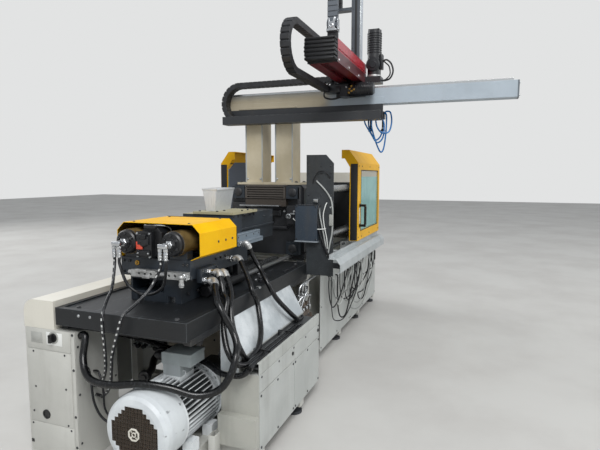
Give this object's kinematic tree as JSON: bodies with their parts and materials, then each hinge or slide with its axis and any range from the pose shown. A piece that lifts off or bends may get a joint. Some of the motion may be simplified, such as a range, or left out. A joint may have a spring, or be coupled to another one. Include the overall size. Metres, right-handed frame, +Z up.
{
  "type": "injection moulding machine",
  "caption": "Horizontal injection moulding machine on a steel bed, with an open injection unit, yellow guards, a hydraulic drive and a beam robot that lifts the parts out.",
  "frame": {"origin": "centre of the bounding box on the floor", "axes": "+X along the machine from the injection end to the clamp end, +Y towards the rear side, +Z up"},
  "size_m": [4.435, 2.82, 3.4],
  "materials": {
    "pale_paint": "satin",
    "cabinet_paint": "satin",
    "cover_paint": "satin",
    "white_paint": "satin",
    "tank_paint": "satin",
    "channel_paint": "satin",
    "yellow_paint": "satin",
    "dark_paint": "satin",
    "platen_paint": "satin",
    "slate_paint": "satin",
    "tan_paint": "gloss",
    "black_paint": "satin",
    "motor_paint": "satin",
    "cowl_paint": "satin",
    "box_paint": "satin",
    "pump_paint": "satin",
    "valve_paint": "satin",
    "red_paint": "gloss",
    "cream_paint": "satin",
    "beam_paint": "satin",
    "table_iron": "satin",
    "foot_iron": "matte",
    "ground_steel": "satin",
    "band_steel": "satin",
    "barrel_steel": "satin",
    "hopper_steel": "satin",
    "chromed": "gloss",
    "milled_aluminium": "satin",
    "arm_aluminium": "satin",
    "black_plastic": "matte",
    "servo_black": "satin",
    "hose_rubber": "satin",
    "clear_pane": "clear"
  },
  "bodies": {
    "machine": {"bed_frame": "cabinet_paint", "levelling_feet": "foot_iron", "oil_tank": "tank_paint", "machine_table": "table_iron", "left_cover": "cover_paint", "sloped_cover": "white_paint", "cable_ledge": "pale_paint", "side_panels": "pale_paint", "switch_cabinet": "cabinet_paint", "side_channels": "channel_paint", "clamp_ways": "ground_steel", "fixed_platen": "platen_paint", "tie_bars": "ground_steel", "tie_bar_nuts": "dark_paint", "end_platen": "platen_paint", "clamp_housing": "cover_paint", "guard_plates": "slate_paint", "valve_block": "valve_paint", "slide_rails": "ground_steel", "motor_stator": "motor_paint", "fan_cowl": "cowl_paint", "terminal_box": "box_paint", "bell_housing": "pump_paint", "hydraulic_pump": "pump_paint", "robot_columns": "cream_paint", "robot_beam": "beam_paint", "energy_chain": "black_plastic", "power_cable": "hose_rubber", "carriage_hoses": "hose_rubber", "cap_hoses": "hose_rubber", "bay_hose": "hose_rubber"},
    "switch": {"main_switch": "black_plastic"},
    "carriage": {"carriage_base": "dark_paint", "carriage_cylinders": "black_paint", "injection_cylinders": "tan_paint", "cylinder_caps": "black_paint", "port_elbows": "chromed", "barrel": "barrel_steel", "heater_bands": "band_steel", "feed_block": "dark_paint", "feed_hopper": "hopper_steel", "barrel_guard": "dark_paint", "injection_cover": "yellow_paint", "manifold_block": "milled_aluminium"},
    "injection": {"crosshead": "dark_paint", "injection_rods": "chromed", "screw_motor": "black_paint"},
    "plasticiser": {"screw": "ground_steel"},
    "clamp": {"moving_platen": "platen_paint"},
    "knockout": {"ejector": "ground_steel"},
    "operator_gate": {"front_gate": "yellow_paint", "front_window": "clear_pane"},
    "back_gate": {"rear_gate": "yellow_paint", "rear_window": "clear_pane"},
    "rotor": {"motor_rotor": "barrel_steel"},
    "traverse": {"traverse_carriage": "black_paint"},
    "kick": {"kick_arm": "red_paint", "arm_chains": "black_plastic"},
    "lift": {"vertical_arm": "arm_aluminium"},
    "gripper": {"wrist": "servo_black"}
  },
  "joints": [
    {"name": "carriage_slide", "type": "slide", "parent": "machine", "child": "carriage", "axis": [1, 0, 0], "range_m": [-0.05, 0.25], "deforming": ["power_cable", "carriage_hoses", "cap_hoses"]},
    {"name": "injection_stroke", "type": "slide", "parent": "carriage", "child": "injection", "axis": [1, 0, 0], "range_m": [0, 0.16]},
    {"name": "screw_turn", "type": "hinge", "parent": "injection", "child": "plasticiser", "pos_m": [-0.9125, 0.62, 1.27], "axis": [1, 0, 0], "continuous": true},
    {"name": "clamp_slide", "type": "slide", "parent": "machine", "child": "clamp", "axis": [1, 0, 0], "range_m": [-0.33, 0.17]},
    {"name": "ejector_slide", "type": "slide", "parent": "clamp", "child": "knockout", "axis": [-1, 0, 0], "range_m": [0, 0.06]},
    {"name": "operator_gate_slide", "type": "slide", "parent": "machine", "child": "operator_gate", "axis": [1, 0, 0], "range_m": [-0.55, 0.45]},
    {"name": "back_gate_slide", "type": "slide", "parent": "machine", "child": "back_gate", "axis": [1, 0, 0], "range_m": [-0.55, 0.45]},
    {"name": "switch_turn", "type": "hinge", "parent": "machine", "child": "switch", "pos_m": [-2.1325, 1.07, 0.743], "axis": [1, 0, 0], "range_deg": [0, 90]},
    {"name": "rotor_turn", "type": "hinge", "parent": "machine", "child": "rotor", "pos_m": [-2.0125, 0.445, 0.34], "axis": [1, 0, 0], "continuous": true},
    {"name": "robot_traverse", "type": "slide", "parent": "machine", "child": "traverse", "axis": [0, 1, 0], "range_m": [-1.1, 0.45], "deforming": ["energy_chain"]},
    {"name": "robot_kick", "type": "slide", "parent": "traverse", "child": "kick", "axis": [1, 0, 0], "range_m": [0, 0.5], "deforming": ["arm_chains"]},
    {"name": "robot_lift", "type": "slide", "parent": "kick", "child": "lift", "axis": [0, 0, 1], "range_m": [-1, 0.05], "deforming": ["arm_chains"]},
    {"name": "wrist_turn", "type": "hinge", "parent": "lift", "child": "gripper", "pos_m": [0.0525, -0.21, 2.17], "axis": [0, -1, 0], "range_deg": [0, 90]}
  ]
}
